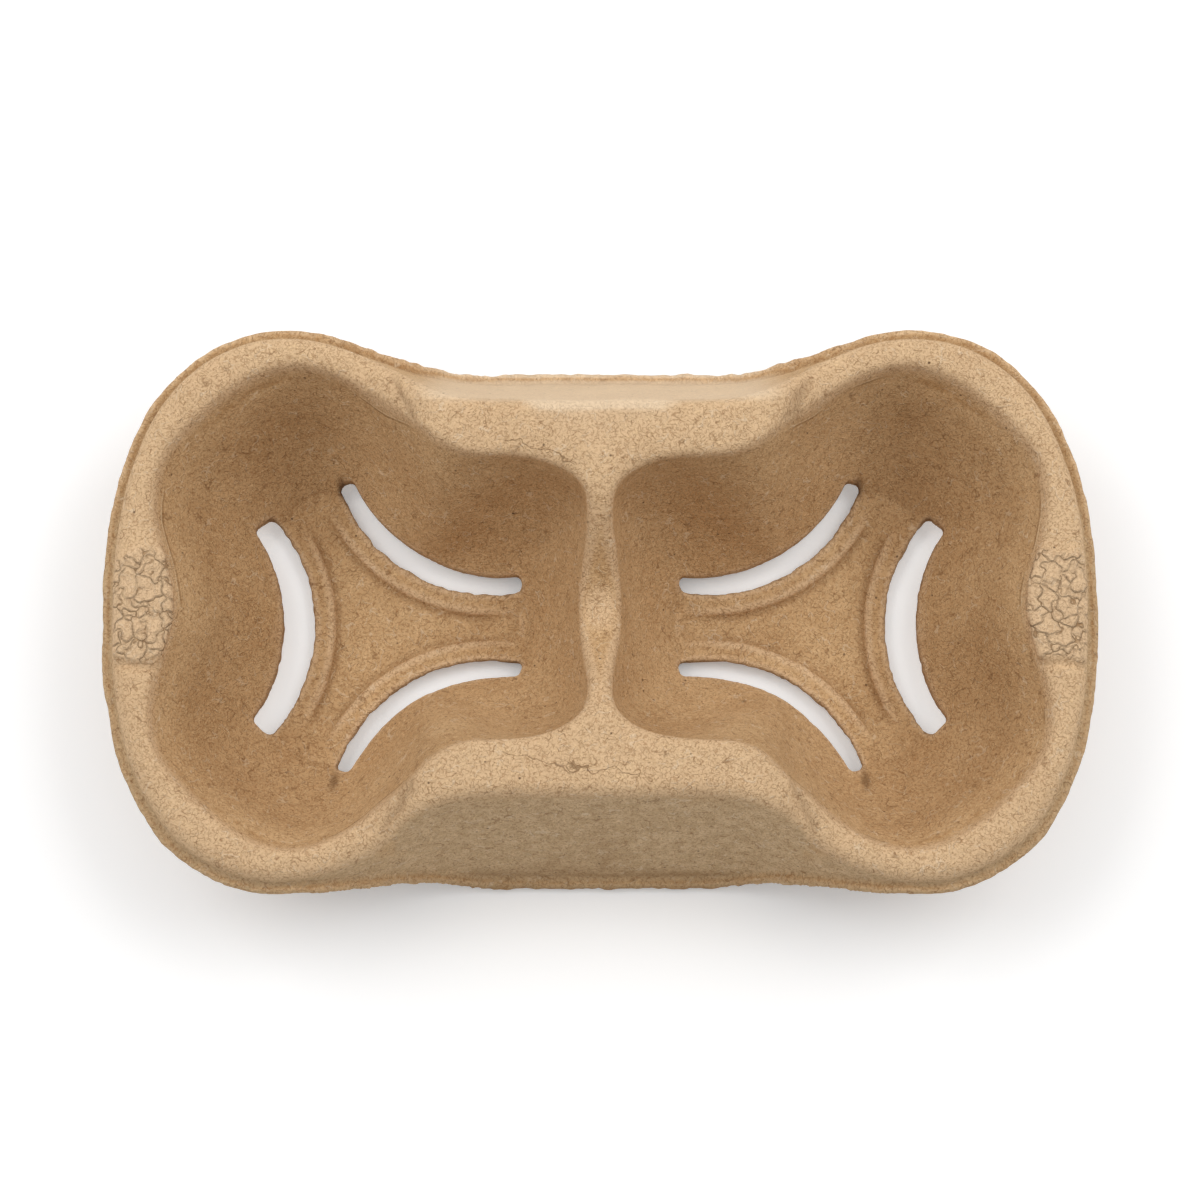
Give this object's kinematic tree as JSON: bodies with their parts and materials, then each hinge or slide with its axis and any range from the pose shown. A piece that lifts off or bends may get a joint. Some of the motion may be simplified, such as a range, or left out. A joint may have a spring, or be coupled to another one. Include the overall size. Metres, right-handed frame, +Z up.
{
  "type": "moulded pulp cup carrier",
  "caption": "Moulded-pulp tray that carries takeaway cups side by side in flared pockets, with arc slots in the floors, a dipped divider and raised long sides with hanging aprons.",
  "frame": {"origin": "middle of the tray's footprint, on the surface that it rests on", "axes": "+X along the tray from one cup to the other, -Y towards the front long side, +Z up"},
  "size_m": [0.2148, 0.1234, 0.047],
  "materials": {
    "moulded_pulp": "matt, rough and fibrous, natural brown"
  },
  "bodies": {
    "root": {"carrier_tray": "moulded_pulp"}
  },
  "joints": []
}
